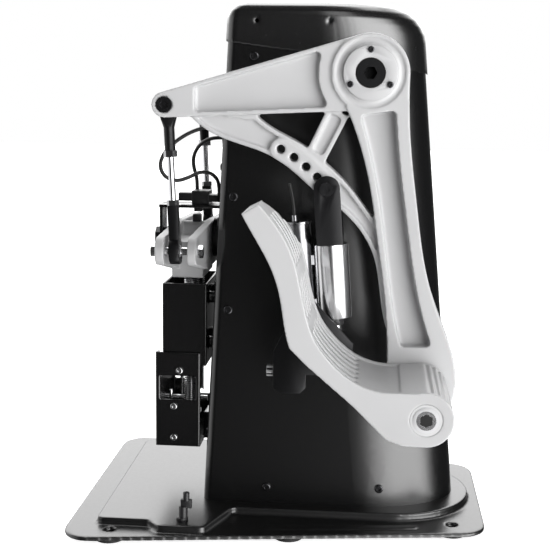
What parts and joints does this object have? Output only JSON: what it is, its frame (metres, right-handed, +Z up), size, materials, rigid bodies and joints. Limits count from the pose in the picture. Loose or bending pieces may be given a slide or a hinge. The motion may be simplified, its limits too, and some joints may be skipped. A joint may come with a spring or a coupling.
{
  "type": "flight simulator rudder pedals",
  "caption": "Free-standing suspended rudder pedals: a tower on a floor plate, two swinging pendulum arms with toe-brake pedals, a rear rocker with push rods, and brake struts.",
  "frame": {"origin": "on the ground under the middle of the floor plate", "axes": "+Z up, +X towards the seated user, +Y to the user's right"},
  "size_m": [0.345, 0.4, 0.435],
  "materials": {
    "black_powder": "satin powder coat",
    "cap_gloss": "smooth satin gloss",
    "cast_grey": "fine satin, painted light grey",
    "black_steel": "black oxide",
    "bright_steel": "ground",
    "chromed": "polished",
    "frame_steel": "zinc plated",
    "rubber": "matt",
    "black_plastic": "moulded",
    "bronze": "sintered",
    "board_green": "solder mask",
    "cable_jacket": "matt jacket",
    "pale_bush": "machined polymer"
  },
  "bodies": {
    "base": {"base_plate": "black_powder", "rubber_feet": "rubber", "plate_thumbscrew": "black_plastic", "tower_shell": "black_powder", "rear_panel": "black_powder", "tower_cap": "cap_gloss", "tower_screws": "black_steel", "frame_sides": "frame_steel", "frame_crossbars": "frame_steel", "main_shaft": "black_steel", "circuit_board": "board_green", "usb_inlet": "bright_steel", "pivot_housing": "black_powder", "axle_bridge": "black_powder", "rocker_axle": "black_steel", "rudder_sensor": "black_plastic", "spring_channel": "black_powder", "anchor_box": "black_powder", "spring_anchors": "bright_steel", "centring_springs": "bright_steel", "cable_grommet": "rubber", "long_cable": "cable_jacket", "short_cable": "cable_jacket"},
    "rocker": {"rocker": "cast_grey", "rocker_pins": "black_steel", "magnet_holder": "black_plastic"},
    "left_arm": {"left_arm": "cast_grey", "left_hub_bearing": "bronze", "left_hub_cap": "cast_grey", "left_arm_screws": "black_steel", "left_pedal_pin": "black_steel"},
    "left_pedal": {"left_pedal": "cast_grey", "left_pedal_bushes": "pale_bush", "left_link_bracket": "black_steel"},
    "left_strut": {"left_strut_clevis": "black_steel", "left_strut_cylinder": "chromed", "left_brake_sensor": "black_plastic", "left_sensor_lead": "cable_jacket"},
    "left_strut_rod": {"left_strut_rod": "bright_steel"},
    "left_rod_ball": {"left_rod_ball": "bright_steel"},
    "left_push_rod": {"left_rod_low_end": "black_steel", "left_push_rod": "chromed", "left_rod_top_end": "black_steel"},
    "right_arm": {"right_arm": "cast_grey", "right_hub_bearing": "bronze", "right_hub_cap": "cast_grey", "right_arm_screws": "black_steel", "right_pedal_pin": "black_steel"},
    "right_pedal": {"right_pedal": "cast_grey", "right_pedal_bushes": "pale_bush", "right_link_bracket": "black_steel"},
    "right_strut": {"right_strut_clevis": "black_steel", "right_strut_cylinder": "chromed", "right_brake_sensor": "black_plastic", "right_sensor_lead": "cable_jacket"},
    "right_strut_rod": {"right_strut_rod": "bright_steel"},
    "right_rod_ball": {"right_rod_ball": "bright_steel"},
    "right_push_rod": {"right_rod_low_end": "black_steel", "right_push_rod": "chromed", "right_rod_top_end": "black_steel"}
  },
  "joints": [
    {"name": "left_arm_swing", "type": "hinge", "parent": "base", "child": "left_arm", "pos_m": [0.068, -0.09, 0.378], "axis": [0, 1, 0], "range_deg": [-10, 10], "stiffness_Nm_per_rad": 30},
    {"name": "right_arm_swing", "type": "hinge", "parent": "base", "child": "right_arm", "pos_m": [0.068, 0.09, 0.378], "axis": [0, 1, 0], "range_deg": [-10.5, 10.5]},
    {"name": "rocker_swing", "type": "hinge", "parent": "base", "child": "rocker", "pos_m": [-0.083, 0, 0.236], "axis": [1, 0, 0], "range_deg": [-18, 18], "deforming": ["centring_springs"]},
    {"name": "left_rod_tilt", "type": "hinge", "parent": "rocker", "child": "left_rod_ball", "pos_m": [-0.084, -0.092, 0.236], "axis": [1, 0, 0], "range_deg": [-18, 18]},
    {"name": "left_rod_sway", "type": "hinge", "parent": "left_rod_ball", "child": "left_push_rod", "pos_m": [-0.084, -0.092, 0.236], "axis": [0, 1, 0], "range_deg": [-3, 3]},
    {"name": "left_toe_brake", "type": "hinge", "parent": "left_arm", "child": "left_pedal", "pos_m": [0.114, -0.15, 0.135], "axis": [0, -1, 0], "range_deg": [0, 15], "stiffness_Nm_per_rad": 40, "springref_deg": -1.72},
    {"name": "left_strut_swing", "type": "hinge", "parent": "left_arm", "child": "left_strut", "pos_m": [0.0365, -0.09, 0.289], "axis": [0, 1, 0], "range_deg": [-0.5, 2]},
    {"name": "left_strut_stroke", "type": "slide", "parent": "left_strut", "child": "left_strut_rod", "axis": [0.0781, 0, -0.9969], "range_m": [-0.0005, 0.0195]},
    {"name": "right_rod_tilt", "type": "hinge", "parent": "rocker", "child": "right_rod_ball", "pos_m": [-0.084, 0.092, 0.236], "axis": [1, 0, 0], "range_deg": [-18, 18]},
    {"name": "right_rod_sway", "type": "hinge", "parent": "right_rod_ball", "child": "right_push_rod", "pos_m": [-0.084, 0.092, 0.236], "axis": [0, 1, 0], "range_deg": [-3, 3]},
    {"name": "right_toe_brake", "type": "hinge", "parent": "right_arm", "child": "right_pedal", "pos_m": [0.114, 0.15, 0.135], "axis": [0, -1, 0], "range_deg": [0, 15], "stiffness_Nm_per_rad": 40, "springref_deg": -1.72},
    {"name": "right_strut_swing", "type": "hinge", "parent": "right_arm", "child": "right_strut", "pos_m": [0.0365, 0.09, 0.289], "axis": [0, 1, 0], "range_deg": [-0.5, 2]},
    {"name": "right_strut_stroke", "type": "slide", "parent": "right_strut", "child": "right_strut_rod", "axis": [0.0781, 0, -0.9969], "range_m": [-0.0005, 0.0195]}
  ],
  "couplings": [
    {"joint": "right_arm_swing", "follows": "left_arm_swing", "ratio": -1},
    {"joint": "rocker_swing", "follows": "left_arm_swing", "ratio": -1.7283},
    {"joint": "left_rod_tilt", "follows": "left_arm_swing", "ratio": 1.7283},
    {"joint": "left_rod_sway", "follows": "left_arm_swing", "ratio": -0.224},
    {"joint": "left_strut_swing", "follows": "left_toe_brake", "ratio": 0.10773},
    {"joint": "left_strut_stroke", "follows": "left_toe_brake", "m_per_rad": 0.068},
    {"joint": "right_rod_tilt", "follows": "left_arm_swing", "ratio": 1.7283},
    {"joint": "right_rod_sway", "follows": "left_arm_swing", "ratio": 0.224},
    {"joint": "right_strut_swing", "follows": "right_toe_brake", "ratio": 0.10773},
    {"joint": "right_strut_stroke", "follows": "right_toe_brake", "m_per_rad": 0.068}
  ]
}
